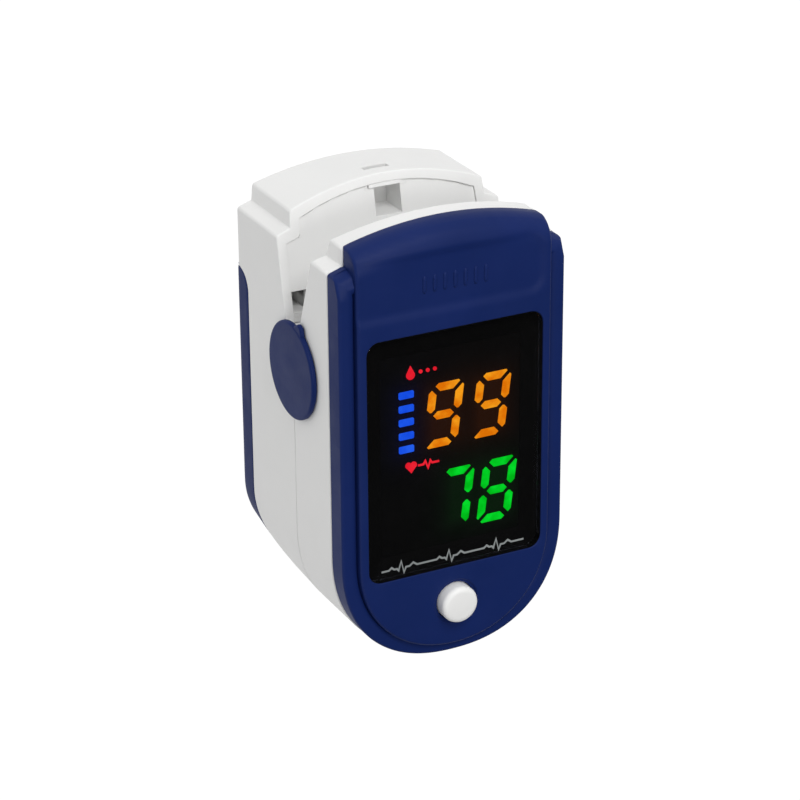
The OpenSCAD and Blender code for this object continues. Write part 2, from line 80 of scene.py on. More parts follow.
WIN_W, WIN_L, WIN_R = 26.0, 34.8, 1.8   # window width, length and corner radius
WIN_Y = -0.7
MODULE_TOP = 31.4
BTN_R, BTN_Y, BTN_Z = 2.67, -23.5, 34.72
CELL_L = 44.2

NOSE_STEPS, CORNER_STEPS, END_STEPS = 40, 6, 22
PANEL_SIDE_STEPS = 70
# stations along the straight sides, closest where the walls' edges curve
SIDE_Y = [-14.0 + k * 0.75 for k in range(22)]
SIDE_Y += [2.3 + k * 0.2 for k in range(80)]
SIDE_Y += [18.3 + k * 0.5 for k in range(11)]

MERGE, FINE_MERGE = 2e-6, 1e-7          # vertex merge distances, in metres


def smooth(start, end, x):
    t = min(1.0, max(0.0, (x - start) / (end - start)))
    return t * t * (3 - 2 * t)


def clamp01(x):
    return min(1.0, max(0.0, x))


# ---------------------------------------------------------------- plan outlines
def arch_y(x, ends_y, half_width):
    """crowned edge of the squeeze end"""
    return ends_y + CROWN * (1 - (x / half_width) ** 2)


def door_edge(x):
    """crowned edge of the battery door"""
    return 17.4 + 2.1 * (1 - (x / 17) ** 2)


def arc_corner(before, corner, after, radius, steps=CORNER_STEPS):
    """steps + 1 points of the fillet at a corner"""
    before, corner, after = Vector(before), Vector(corner), Vector(after)
    a, b = (before - corner).normalized(), (after - corner).normalized()
    angle = a.angle(b)
    reach = radius / math.tan(angle / 2)
    centre = corner + (a + b).normalized() * (radius / math.sin(angle / 2))
    start, end = corner + a * reach - centre, corner + b * reach - centre
    first = math.atan2(start.y, start.x)
    turn = (math.atan2(end.y, end.x) - first + math.pi) % (2 * math.pi) - math.pi
    angles = [first + turn * k / steps for k in range(steps + 1)]
    return [(centre.x + radius * math.cos(t), centre.y + radius * math.sin(t)) for t in angles]


def half_nose(half_width, length, base_y, power):
    """quarter superellipse, from the tip of the finger end to the side at +X"""
    points = []
    for k in range(NOSE_STEPS + 1):
        t = math.pi / 2 * k / NOSE_STEPS
        points.append((half_width * math.sin(t) ** (2 / power),
                       base_y - length * math.cos(t) ** (2 / power)))
    return points


def add_end(points, curve):
    """carry a half outline on from its last point to the middle, along y = curve(x)"""
    start = points[-1][0]
    for k in range(1, END_STEPS + 1):
        x = start * (1 - k / END_STEPS)
        points.append((x, curve(x)))


def half_shell(inset, nose_length=NOSE_LENGTH, nose_power=NOSE_POWER):
    """+X half of the shells' outline, from the finger end to the squeeze end"""
    side = (HALF_W - inset, SHOULDER_Y - inset)
    step = (END_HALF_W + 0.2 - inset, SHOULDER_Y + 0.7 - inset)
    end = (END_HALF_W - inset, END_Y - inset)
    beyond = (end[0] - 1, end[1] + 2 * CROWN / end[0])
    outer_radius = max(0.12, 0.55 - inset)
    shoulder = arc_corner((side[0], 0), side, step, outer_radius)
    points = half_nose(side[0], nose_length - inset, NOSE_Y, nose_power)
    for y in SIDE_Y:
        points.append((side[0], min(y, shoulder[0][1] - 0.02 * (24 - y) - 0.02)))
    points += shoulder
    points += arc_corner(side, step, end, 0.15 + 0.3 * inset)
    points += arc_corner(step, end, beyond, outer_radius)
    add_end(points, lambda x: arch_y(x, end[1], end[0]))
    return points


def half_door(inset):
    x_side = HALF_W - inset
    y_corner = door_edge(x_side) - inset
    corner = arc_corner((x_side, 0), (x_side, y_corner), (x_side - 1, y_corner + 0.24),
                        max(0.1, 0.6 - inset))
    points = half_nose(x_side, NOSE_LENGTH - inset, NOSE_Y, NOSE_POWER)
    for y in SIDE_Y:
        if y < 17.0:
            points.append((x_side, min(y, corner[0][1] - 0.02 * (17.5 - y))))
    points += corner
    add_end(points, lambda x: door_edge(x) - inset)
    return points


def half_panel(inset):
    """the raised panel: straight from the finger end to the corners of the squeeze end"""
    x_side = PANEL_HALF_W - inset
    y_end = END_Y + PANEL_OUT - inset
    crown_half = END_HALF_W - inset
    corner = arc_corner((x_side, 0), (x_side, y_end), (x_side - 1, y_end + 2 * CROWN / crown_half),
                        max(0.1, 0.42 - inset * 0.6))
    points = half_nose(x_side, 14.65 - inset, PANEL_NOSE_Y, 2.1)
    length = corner[0][1] - PANEL_NOSE_Y
    for k in range(1, PANEL_SIDE_STEPS):
        t = k / PANEL_SIDE_STEPS
        points.append((x_side, PANEL_NOSE_Y + length * (1 - (1 - t) ** 1.6)))
    points += corner
    add_end(points, lambda x: arch_y(x, y_end, crown_half))
    return points


class Outline:
    """closed outline, mirrored about x = 0, that can be moved inwards"""

    def __init__(self, half):
        self.half = half
        self.loops = {}
        self.count = len(self.loop(0.0))

    def loop(self, inset):
        key = round(inset, 3)
        if key not in self.loops:
            half = self.half(key)
            self.loops[key] = half + [(-x, y) for x, y in reversed(half[1:-1])]
        return self.loops[key]

    def point(self, i, inset):
        """point i at any inset, between loops 0.05 apart"""
        base = math.floor(inset * 20) / 20
        a, b = self.loop(base)[i], self.loop(base + 0.05)[i]
        t = (inset - base) * 20
        return (a[0] + (b[0] - a[0]) * t, a[1] + (b[1] - a[1]) * t)

    def half_index(self, i):
        return min(i, self.count - i)

    def nose_blend(self, i, span):
        """0 on the straight sides, rising to 1 over span degrees of the finger end"""
        return smooth(0, span, 90 - 90 * self.half_index(i) / NOSE_STEPS)

    def lean(self, i, z):
        """how far the wall leans in round the finger end, most at the bottom"""
        return self.nose_blend(i, 48) * 2.75 * math.exp(-z / 5.2)

    def nose_rise(self, i):
        """how much higher the door's wall stands round the finger end"""
        return 1.9 * self.nose_blend(i, 50)


shell = Outline(half_shell)
cover_rim = Outline(lambda inset: half_shell(inset, nose_length=16.9, nose_power=2.27))
door = Outline(half_door)
panel = Outline(half_panel)


def rounded_rect(width, length, radius, centre_y, steps):
    points = []
    for sx, sy, first in ((1, -1, -90), (1, 1, 0), (-1, 1, 90), (-1, -1, 180)):
        for k in range(steps + 1):
            t = math.radians(first + 90 * k / steps)
            points.append((sx * (width / 2 - radius) + radius * math.cos(t),
                           centre_y + sy * (length / 2 - radius) + radius * math.sin(t)))
    return points


def circle(radius, centre_x, centre_y, steps):
    angles = [2 * math.pi * k / steps for k in range(steps)]
    return [(centre_x + radius * math.cos(t), centre_y + radius * math.sin(t)) for t in angles]


def at_z(points, z):
    return [(x, y, z) for x, y in points]


def divide(points, step):
    """closed loop with its long sides cut into pieces"""
    out = []
    for a, b in zip(points, points[1:] + points[:1]):
        pieces = max(1, int(math.hypot(b[0] - a[0], b[1] - a[1]) / step))
        for k in range(pieces):
            out.append((a[0] + (b[0] - a[0]) * k / pieces, a[1] + (b[1] - a[1]) * k / pieces))
    return out


def inside(x, y, polygon):
    result = False
    xj, yj = polygon[-1]
    for xi, yi in polygon:
        if (yi > y) != (yj > y) and x < (xj - xi) * (y - yi) / (yj - yi) + xi:
            result = not result
        xj, yj = xi, yi
    return result


# ---------------------------------------------------------------- mesh helpers
@contextmanager
def editing(mesh):
    bm = bmesh.new()
    bm.from_mesh(mesh)
    yield bm
    bm.to_mesh(mesh)
    bm.free()


def new_object(name, verts, faces, *materials):
    mesh = bpy.data.meshes.new(name)
    mesh.from_pydata([tuple(c * MM for c in v) for v in verts], [], faces)
    mesh.validate()
    ob = bpy.data.objects.new(name, mesh)
    bpy.context.scene.collection.objects.link(ob)
    for material in materials:
        mesh.materials.append(material)
    return ob


def tidy(ob, merge=MERGE):
    with editing(ob.data) as bm:
        bmesh.ops.remove_doubles(bm, verts=bm.verts, dist=merge)
        bmesh.ops.dissolve_degenerate(bm, edges=bm.edges, dist=1e-7)
        bmesh.ops.recalc_face_normals(bm, faces=bm.faces)


def loft(rings, closed=False, strip=False, caps=False):
    """skin through rings of equally many points

    closed joins the last ring to the first; strip leaves each ring open; caps fills the ends
    """
    verts = [v for ring in rings for v in ring]
    faces = []
    n, m = len(rings[0]), len(rings)
    for j in range(m if closed else m - 1):
        a, b = j * n, ((j + 1) % m) * n
        for i in range(n - 1 if strip else n):
            k = (i + 1) % n
            faces.append((a + i, a + k, b + k, b + i))
    if caps:
        faces.append(tuple(range(n - 1, -1, -1)))
        faces.append(tuple((m - 1) * n + i for i in range(n)))
    return verts, faces


def skin(name, rings, *materials, merge=MERGE, **form):
    ob = new_object(name, *loft(rings, **form), *materials)
    tidy(ob, merge)
    return ob


def lathe(profile, place, steps):
    """rings of a turned shape; the profile is (radius, height) and place gives the point"""
    return [[place(x, y, h) for x, y in circle(r, 0, 0, steps)] for r, h in profile]


def ribbon(name, path, width, z0, z1, material):
    """flat line along a path of (x, y)"""
    rings = []
    for k, (x, y) in enumerate(path):
        here = Vector((x, y))
        if k:
            arriving = (here - Vector(path[k - 1])).normalized()
        else:
            arriving = (Vector(path[1]) - here).normalized()
        leaving = arriving
        if k < len(path) - 1:
            leaving = (Vector(path[k + 1]) - here).normalized()
        along = (arriving + leaving).normalized()
        across = Vector((-along.y, along.x))
        mitre = abs(across.dot(Vector((-arriving.y, arriving.x))))
        offset = across * (width / 2 / max(0.5, mitre))
        left, right = here + offset, here - offset
        rings.append([(*left, z0), (*right, z0), (*right, z1), (*left, z1)])
    return skin(name, rings, material, caps=True, merge=FINE_MERGE)


def box(name, xs, ys, zs, *materials):
    (x0, x1), (y0, y1) = xs, ys
    verts = [(x, y, z) for z in zs for x, y in ((x0, y0), (x1, y0), (x1, y1), (x0, y1))]
    faces = [(3, 2, 1, 0), (4, 5, 6, 7), (0, 1, 5, 4), (1, 2, 6, 5), (2, 3, 7, 6), (3, 0, 4, 7)]
    return new_object(name, verts, faces, *materials)


def prism(inset, z0, z1):
    """solid with the shells' outline"""
    points = shell.loop(inset)
    return skin("tmp_prism", [at_z(points, z0), at_z(points, z1)], caps=True)


def boolean(ob, other, operation="INTERSECT"):
    modifier = ob.modifiers.new("b", "BOOLEAN")
    modifier.operation = operation
    modifier.solver = "EXACT"
    modifier.object = other
    depsgraph = bpy.context.evaluated_depsgraph_get()
    mesh = bpy.data.meshes.new_from_object(ob.evaluated_get(depsgraph))
    ob.modifiers.remove(modifier)
    old = ob.data
    ob.data = mesh
    bpy.data.meshes.remove(old)
    bpy.data.objects.remove(other)


def copy_of(node, material):
    """welded copy of a CAD piece"""
    source = nodes[node]
    mesh = source.data.copy()
    mesh.materials.clear()
    mesh.materials.append(material)
    for name in ("sharp_edge", "sharp_face"):
        if name in mesh.attributes:
            mesh.attributes.remove(mesh.attributes[name])
    ob = bpy.data.objects.new(node + "_inner", mesh)
    ob.matrix_world = source.matrix_world.copy()
    bpy.context.scene.collection.objects.link(ob)
    with editing(mesh) as bm:
        bmesh.ops.remove_doubles(bm, verts=bm.verts, dist=1e-6)
    return ob


def join(name, objects):
    bm = bmesh.new()
    materials = list(objects[0].data.materials)
    for ob in objects:
        part = ob.data.copy()
        part.transform(ob.matrix_world)
        slots = {}
        for k, material in enumerate(ob.data.materials):
            if material not in materials:
                materials.append(material)
            slots[k] = materials.index(material)
        for face in part.polygons:
            face.material_index = slots.get(face.material_index, 0)
        bm.from_mesh(part)
        bpy.data.meshes.remove(part)
    mesh = bpy.data.meshes.new(name)
    bm.to_mesh(mesh)
    bm.free()
    for material in materials:
        mesh.materials.append(material)
    for ob in objects:
        bpy.data.objects.remove(ob)
    joined = bpy.data.objects.new(name, mesh)
    bpy.context.scene.collection.objects.link(joined)
    return joined


def shade(ob, angle=38):
    """smooth shading, sharp at edges steeper than the angle in degrees"""
    for face in ob.data.polygons:
        face.use_smooth = True
    ob.data.set_sharp_from_angle(angle=math.radians(angle))
    modifier = ob.modifiers.new("Normals", "WEIGHTED_NORMAL")
    modifier.keep_sharp = True
    modifier.weight = 90


def soften(ob, width):
    """narrow bevel on the sharp edges"""
    bevel = ob.modifiers.new("Edge", "BEVEL")
    bevel.width = width * MM
    bevel.segments = 2
    bevel.limit_method = "ANGLE"
    bevel.angle_limit = math.radians(40)


def fit(ob, body, replaced=None):
    if replaced:
        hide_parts(replaced)
    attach(ob, body)


# ---------------------------------------------------------------- shader helpers
def add(tree, kind, inputs=None, **settings):
    """node with its settings made and its inputs set or linked"""
    node = tree.nodes.new("ShaderNode" + kind)
    for key, value in settings.items():
        setattr(node, key, value)
    for key, value in (inputs or {}).items():
        if isinstance(value, bpy.types.NodeSocket):
            tree.links.new(value, node.inputs[key])
        else:
            node.inputs[key].default_value = value
    return node


def new_material(name):
    """material, node tree, object coordinates and the surface socket"""
    material = bpy.data.materials.new(name)
    material.use_nodes = True
    tree = material.node_tree
    tree.nodes.clear()
    surface = add(tree, "OutputMaterial").inputs["Surface"]
    return material, tree, add(tree, "TexCoord").outputs["Object"], surface


def principled(tree, surface, inputs):
    tree.links.new(add(tree, "BsdfPrincipled", inputs).outputs["BSDF"], surface)


def noise(tree, coords, scale, detail=3.0):
    inputs = {"Scale": scale, "Detail": detail, "Roughness": 0.6, "Vector": coords}
    return add(tree, "TexNoise", inputs).outputs["Fac"]


def ramp(tree, value, first, second, band=(0.3, 0.7), interpolation="LINEAR"):
    """two colours, placed at the two ends of the band"""
    node = add(tree, "ValToRGB", {"Fac": value})
    node.color_ramp.interpolation = interpolation
    for element, position, colour in zip(node.color_ramp.elements, band, (first, second)):
        element.position = position
        element.color = (*colour, 1)
    return node.outputs["Color"]


def map_range(tree, value, to, source=(0.3, 0.7), **settings):
    inputs = {"From Min": source[0], "From Max": source[1],
              "To Min": to[0], "To Max": to[1], "Value": value}
    return add(tree, "MapRange", inputs, **settings).outputs["Result"]


def calc(tree, operation, *values):
    return add(tree, "Math", dict(enumerate(values)), operation=operation).outputs[0]


def vector_calc(tree, operation, inputs, output=0):
    return add(tree, "VectorMath", inputs, operation=operation).outputs[output]


# ---------------------------------------------------------------- materials
def plastic(name, dark, light, rough, bump=0.0, grain=2600, metallic=0.0, spec=0.5):
    """moulded plastic or metal: slight colour drift, uneven gloss and a fine grain"""
    material, tree, coords, surface = new_material(name)
    inputs = {
        "Base Color": ramp(tree, noise(tree, coords, scale=90, detail=4), dark, light),
        "Roughness": map_range(tree, noise(tree, coords, scale=260, detail=5), to=rough),
        "IOR": 1.46,
        "Metallic": metallic,
        "Specular IOR Level": spec,
    }
    if bump:
        height = noise(tree, coords, scale=grain, detail=2)
        grain_bump = add(tree, "Bump", {"Strength": bump, "Distance": 0.0002, "Height": height})
        inputs["Normal"] = grain_bump.outputs["Normal"]
    principled(tree, surface, inputs)
    return material


WHITE = plastic("white_plastic", (0.83, 0.83, 0.822), (0.85, 0.85, 0.842),
                rough=(0.45, 0.55), bump=0.03, spec=0.35)
BLUE = plastic("blue_plastic", (0.0064, 0.0182, 0.103), (0.0080, 0.0208, 0.117),
               rough=(0.42, 0.52), bump=0.05, grain=2200, spec=0.12)
INK = plastic("printed_ink", (0.24, 0.26, 0.26), (0.32, 0.34, 0.34), rough=(0.5, 0.6), spec=0.2)
BUTTON = plastic("button_plastic", (0.88, 0.88, 0.87), (0.91, 0.91, 0.90),
                 rough=(0.4, 0.48), bump=0.01, spec=0.4)
BLACK = plastic("black_plastic", (0.010, 0.010, 0.011), (0.016, 0.016, 0.018),
                rough=(0.45, 0.6), bump=0.05)
MASK_DARK, MASK_LIGHT = (0.0046, 0.0046, 0.0048), (0.0058, 0.0058, 0.0060)
MASK = plastic("mask_film", MASK_DARK, MASK_LIGHT, rough=(0.6, 0.7), spec=0.02)
PLUNGER = plastic("plunger_plastic", (0.45, 0.06, 0.04), (0.52, 0.08, 0.05),
                  rough=(0.4, 0.5), bump=0.02)
SILICONE = plastic("silicone", (0.055, 0.06, 0.075), (0.07, 0.075, 0.095),
                   rough=(0.5, 0.62), bump=0.08, grain=3200)
METAL = plastic("contact_metal", (0.62, 0.61, 0.58), (0.74, 0.73, 0.7),
                rough=(0.18, 0.3), bump=0.02, grain=4000, metallic=1.0)
STEEL = plastic("spring_steel", (0.42, 0.42, 0.43), (0.55, 0.55, 0.56),
                rough=(0.25, 0.4), bump=0.03, grain=5000, metallic=1.0)
SCREW = plastic("screw_steel", (0.5, 0.5, 0.5), (0.62, 0.62, 0.62),
                rough=(0.25, 0.38), bump=0.03, grain=5000, metallic=1.0)
LED = plastic("led_body", (0.68, 0.68, 0.6), (0.76, 0.76, 0.7), rough=(0.15, 0.25), bump=0.01)
FLEX = plastic("flex_film", (0.42, 0.2, 0.035), (0.52, 0.26, 0.06), rough=(0.2, 0.32), bump=0.02)


def board_material():
    """green board with a fine pattern of tracks"""
    material, tree, coords, surface = new_material("circuit_board")
    tracks = add(tree, "TexBrick", {
        "Scale": 420,
        "Color1": (0.012, 0.11, 0.045, 1),
        "Color2": (0.016, 0.13, 0.055, 1),
        "Mortar": (0.03, 0.2, 0.09, 1),
        "Mortar Size": 0.03,
        "Vector": coords,
    })
    principled(tree, surface, {
        "Base Color": tracks.outputs["Color"],
        "Roughness": map_range(tree, noise(tree, coords, scale=500), to=(0.3, 0.45)),
    })
    return material


BOARD = board_material()


def lens_material():
    """dark glossy window: light passes straight through, a little is mirrored"""
    material, tree, coords, surface = new_material("lens_glass")
    clear = add(tree, "BsdfTransparent", {"Color": (0.86, 0.86, 0.86, 1)})
    gloss = add(tree, "BsdfGlossy", {
        "Color": (0.9, 0.92, 1.0, 1),
        "Roughness": map_range(tree, noise(tree, coords, scale=60), to=(0.06, 0.1)),
    })
    facing = add(tree, "LayerWeight", {"Blend": 0.12}).outputs["Fresnel"]
    mix = add(tree, "MixShader", {
        "Fac": map_range(tree, facing, source=(0.0, 1.0), to=(0.004, 0.5)),
        1: clear.outputs["BSDF"],
        2: gloss.outputs["BSDF"],
    })
    tree.links.new(mix.outputs["Shader"], surface)
    return material


LENS = lens_material()


def sensor_glass():
    material, tree, coords, surface = new_material("sensor_glass")
    drift = noise(tree, coords, scale=200)
    principled(tree, surface, {
        "Base Color": ramp(tree, drift, (0.16, 0.03, 0.03), (0.2, 0.045, 0.04)),
        "Roughness": 0.12,
        "Coat Weight": 0.4,
    })
    return material


SENSOR = sensor_glass()


def light_material(name, dark, light, strength):
    """lit display segment: brighter in uneven patches"""
    material, tree, coords, surface = new_material(name)
    patches = noise(tree, coords, scale=420, detail=2)
    emission = add(tree, "Emission", {
        "Color": ramp(tree, patches, dark, light, band=(0.38, 0.66)),
        "Strength": map_range(tree, patches, source=(0.35, 0.68), to=strength),
    })
    tree.links.new(emission.outputs["Emission"], surface)
    return material


L_ORANGE = light_material("light_orange", (0.92, 0.21, 0.002), (1.0, 0.37, 0.012),
                          strength=(1.05, 1.25))
L_GREEN = light_material("light_green", (0.0, 0.62, 0.012), (0.002, 0.86, 0.03),
                         strength=(1.0, 1.15))
L_BLUE = light_material("light_blue", (0.008, 0.09, 1.0), (0.02, 0.13, 1.0), strength=(1.0, 1.15))
L_RED = light_material("light_red", (0.95, 0.012, 0.03), (1.0, 0.02, 0.04), strength=(1.0, 1.15))

GLOW_ORANGE, GLOW_GREEN, GLOW_BLUE = (1.0, 0.22, 0.01), (0.02, 0.75, 0.08), (0.01, 0.06, 1.0)
# lit groups of the display: centre (x, y), half size (x, y), colour, strength
GLOWS = [
    ((-1.1, 4.0), (1.6, 3.2), GLOW_ORANGE, 0.02),
    ((5.9, 4.0), (1.6, 3.2), GLOW_ORANGE, 0.02),
    ((1.3, -8.6), (1.0, 3.2), GLOW_GREEN, 0.012),
    ((7.0, -8.6), (1.6, 3.2), GLOW_GREEN, 0.014),
    ((-6.6, 3.9), (0.7, 3.9), GLOW_BLUE, 0.016),
]
GLOW_FALL = -750.0      # exponent of the glow per metre from a group's edge


def module_material():
    """black display face with a faint glow round the lit groups"""
    material, tree, coords, surface = new_material("display_face")
    axes = add(tree, "SeparateXYZ", {0: coords}).outputs

    def gap(axis, centre, half):
        offset = calc(tree, "ABSOLUTE", calc(tree, "SUBTRACT", axes[axis], centre * MM))
        return calc(tree, "MAXIMUM", calc(tree, "SUBTRACT", offset, half * MM), 0.0)

    total = None
    for centre, half, colour, strength in GLOWS:
        dx = gap("X", centre[0], half[0])
        dy = gap("Y", centre[1], half[1])
        square = calc(tree, "MULTIPLY", dx, dx)
        square = calc(tree, "ADD", square, calc(tree, "MULTIPLY", dy, dy))
        distance = calc(tree, "SQRT", square)
        fall = calc(tree, "EXPONENT", calc(tree, "MULTIPLY", distance, GLOW_FALL))
        level = calc(tree, "MULTIPLY", fall, strength)
        glow = vector_calc(tree, "SCALE", {0: colour, "Scale": level})
        total = vector_calc(tree, "ADD", {0: total, 1: glow}) if total else glow
    principled(tree, surface, {
        "Base Color": ramp(tree, noise(tree, coords, scale=300), MASK_DARK, MASK_LIGHT),
        "Roughness": 0.55,
        "Specular IOR Level": 0.02,
        "Emission Color": total,
        "Emission Strength": 1.0,
    })
    return material


MODULE = module_material()


def cell_material():
    """black jacket with a copper-coloured band towards the positive end"""
    material, tree, coords, surface = new_material("cell_jacket")
    along = add(tree, "SeparateXYZ", {0: coords}).outputs["Y"]
    share = map_range(tree, along, source=(0.0, CELL_L * MM), to=(0.0, 1.0))
    principled(tree, surface, {
        "Base Color": ramp(tree, share, (0.02, 0.022, 0.026), (0.45, 0.2, 0.06),
                           band=(0.0, 0.74), interpolation="CONSTANT"),
        "Roughness": map_range(tree, noise(tree, coords, scale=200), to=(0.16, 0.26)),
        "Metallic": map_range(tree, along, source=(0.0327, 0.0328), to=(0.0, 0.8)),
    })
    return material


CELL = cell_material()


# ---------------------------------------------------------------- shells
def end_weight(x, y):
    """1 at the middle of the squeeze end, 0 at its corners and along the sides"""
    return max(0.0, 1 - (x / END_HALF_W) ** 2) * smooth(26.5, 28.6, y)


def bulge(x, y, z):
    """the squeeze end's crown grows from the back of the lower shell to its rim"""
    return 0.75 * clamp01((z - 1.5) / 11.5) * end_weight(x, y)


def bulge_vertices(ob):
    for vertex in ob.data.vertices:
        push = bulge(*(c / MM for c in vertex.co)) * MM
        vertex.co.y += push
        vertex.co.z -= RIM_SLOPE * push


def wall_y(i, y):
    """y for a wall's height: on the sides the outer face's, so that arcs run straight through"""
    on_side = NOSE_STEPS < shell.half_index(i) <= NOSE_STEPS + len(SIDE_Y)
    return shell.loop(0.0)[i][1] if on_side else y


def upper_bottom(y):
    """bottom edge of the upper shell's wall, cut away round the hinge"""
    if y < 14.8:
        if abs(y - HINGE_Y) < 5.9999:
            return min(18.33, HINGE_Z - math.sqrt(36 - (y - HINGE_Y) ** 2))
        return 18.33
    rise = 20.96 + 0.37 * (y - 16.74)
    t = smooth(14.8, 15.25, y)
    return (1 - t) * min(HINGE_Z, rise) + t * rise


def upper_housing():
    # inset, share of the wall's height, offset in z
    rows = [
        (0.13, 0, 0.0), (0.05, 0, 0.03), (0.01, 0, 0.08), (0.0, 0, 0.16), (0.0, 0.5, 0.0),
        (0.0, 1, -0.2), (0.06, 1, -0.06), (0.2, 1, 0.0), (WALL, 1, 0.0),
        (1.285, 0, 0.05), (1.25, 0, 0.0),
    ]
    rings = []
    for inset, share, offset in rows:
        ring = []
        for i, (x, y) in enumerate(shell.loop(inset)):
            bottom = upper_bottom(wall_y(i, y))
            z = bottom + share * (UPPER_TOP - bottom) + offset
            push = 0.3 * clamp01((UPPER_TOP - z) / 3.7) * end_weight(x, y)
            ring.append((x, y + push, z))
        rings.append(ring)
    wall = skin("upper_skin", rings, WHITE, closed=True)
    inner = copy_of("upper_housing", WHITE)
    boolean(inner, prism(WALL + 0.01, 10, 31))
    ob = join("upper_housing_shell", [wall, inner])
    shade(ob)
    fit(ob, "upper_clip", "upper_housing")


def door_top(y):
    """height of the door's side wall, which ends in a quarter ellipse"""
    if y < 14.3:
        return 4.0
    return 1.0 + 3.0 * math.sqrt(max(0.0, 1 - ((y - 14.3) / 3.12) ** 2))


def back_z(y):
    """underside of the lower shell beyond the battery door"""
    return 1.5 - 0.42 * smooth(13.5, 15.5, y)


def lower_bottom(i):
    x, y = shell.loop(0.0)[i]
    if y > door_edge(x) + 0.02:
        return back_z(y)
    return max(1.5, door_top(y) + 0.1 + shell.nose_rise(i))


def lower_top(y):
    """rim of the lower shell, cut away round the hinge"""
    z = 18.26
    if abs(y - HINGE_Y) < 6.1499:
        z = min(z, HINGE_Z - math.sqrt(6.15 ** 2 - (y - HINGE_Y) ** 2))
    if y > 14.1:
        z = min(z, 16 - RIM_SLOPE * (y - 15.6))
    return z


def lower_rim_ring(inset, drop):
    ring = []
    for i in range(shell.count):
        x, y = shell.point(i, inset)
        z = lower_top(wall_y(i, y)) - drop
        push = bulge(x, y, z)
        ring.append((x, y + push, z - RIM_SLOPE * push))
    return ring


def lower_wall_ring(place):
    """place(bottom, edge radius, top) gives the inset and z"""
    ring = []
    for i in range(shell.count):
        bottom = lower_bottom(i)
        edge = 0.3 if bottom < 1.55 else 0.12
        top = lower_top(shell.loop(0.0)[i][1]) - 0.45
        inset, z = place(bottom, edge, top)
        x, y = shell.point(i, inset + shell.lean(i, z))
        ring.append((x, y + bulge(x, y, z), z))
    return ring


def lower_skin():
    rings = [lower_rim_ring(1.285, 0.05), lower_wall_ring(lambda low, edge, top: (WALL, low))]
    for k in range(5):
        t = math.radians(90 * k / 4)
        rings.append(lower_wall_ring(
            lambda low, edge, top: (edge * (1 - math.sin(t)), low + edge * (1 - math.cos(t)))))
    for share in (0.1, 0.25, 0.5, 0.75):
        rings.append(lower_wall_ring(
            lambda low, edge, top: (0.0, low + edge + (top - low - edge) * share)))
    for k in range(4):
        t = math.radians(90 * k / 3)
        rings.append(lower_rim_ring(0.2 * (1 - math.cos(t)), 0.2 * (1 - math.sin(t))))
    rings.append(lower_rim_ring(1.25, 0.0))
    return skin("lower_skin", rings, WHITE, closed=True)


def back_plate():
    """plate beyond the battery door"""
    gap, steps, half = 0.12, 24, HALF_W - WALL
    loop = [p for p in shell.loop(WALL) if p[1] > door_edge(p[0]) + gap]
    for k in range(steps + 1):
        x = 2 * half * k / steps - half
        loop.append((x, door_edge(x) + gap))
    rings = [[(x, y, back_z(y)) for x, y in loop], at_z(loop, 3.0)]
    return skin("plate", rings, WHITE, caps=True)


def lower_housing():
    wall = lower_skin()
    # slot for a cord in the end wall
    boolean(wall, box("cut", (-1.9, 1.9), (28, 33), (9.0, 10.2)), "DIFFERENCE")
    plate = back_plate()
    inner = copy_of("lower_housing", WHITE)
    boolean(inner, prism(WALL + 0.01, 1.6, 18))
    bulge_vertices(inner)
    ob = join("lower_housing_shell", [wall, plate, inner])
    shade(ob)
    fit(ob, "lower_clip", "lower_housing")


def lower_plate():
    ob = copy_of("lower_inner_shell", WHITE)
    ob.name = "lower_inner_shell_formed"
    bulge_vertices(ob)
    tidy(ob, FINE_MERGE)
    for face in ob.data.polygons:
        face.use_smooth = False
    soften(ob, 0.08)
    fit(ob, "lower_clip", "lower_inner_shell")


# ---------------------------------------------------------------- battery door
def door_ring(place, lean_share=1.0):
    """place(edge radius, top) gives the inset and z"""
    ring = []
    for i, (x, y) in enumerate(door.loop(0.0)):
        if y > door_edge(x) - 0.05:
            edge, top = 0.6, DOOR_FLOOR
        else:
            edge, top = 1.25, max(DOOR_FLOOR, door_top(y) + door.nose_rise(i))
        inset, z = place(edge, top)
        ring.append((*door.point(i, inset + door.lean(i, z) * lean_share), z))
    return ring


def door_tray():
    rings = []
    for k in range(6):
        t = math.radians(90 * k / 5)
        rings.append(door_ring(
            lambda edge, top: (edge * (1 - math.sin(t)), edge * (1 - math.cos(t)))))
    for share in (0.2, 0.4, 0.7):
        rings.append(door_ring(lambda edge, top: (0.0, edge + (top - 0.15 - edge) * share)))
    for inset, offset in ((0.0, -0.15), (0.05, -0.04), (0.15, 0.0)):
        rings.append(door_ring(lambda edge, top: (inset, top + offset)))
    # the inner face leans less
    for inset, offset in ((1.3, 0.0), (1.4, -0.1)):
        rings.append(door_ring(lambda edge, top: (inset, max(top + offset, DOOR_FLOOR)), 0.8))
    rings.append(door_ring(lambda edge, top: (1.4, DOOR_FLOOR), 0.8))
    return skin("door_tray", rings, BLUE, caps=True)


def groove_cutter(y):
    half_length, half_width, steps = 5.2, 0.42, 12
    # share of the half length, share of the depth
    section = [(-1.0, 0.0), (-0.96, 0.6), (-0.9, 1.0), (0.9, 1.0), (0.96, 0.6), (1.0, 0.0)]
    rings = []
    for k in range(steps + 1):
        t = math.pi * k / steps
        rings.append([(half_length * along, y + half_width * math.cos(t),
                       -0.12 + 0.38 * math.sin(t) * depth) for along, depth in section])
    cutter = new_object("groove", *loft(rings, strip=True), BLUE)
    with editing(cutter.data) as bm:
        bmesh.ops.remove_doubles(bm, verts=bm.verts, dist=FINE_MERGE)
        bmesh.ops.holes_fill(bm, edges=[e for e in bm.edges if e.is_boundary])
        bmesh.ops.recalc_face_normals(bm, faces=bm.faces)
    return cutter


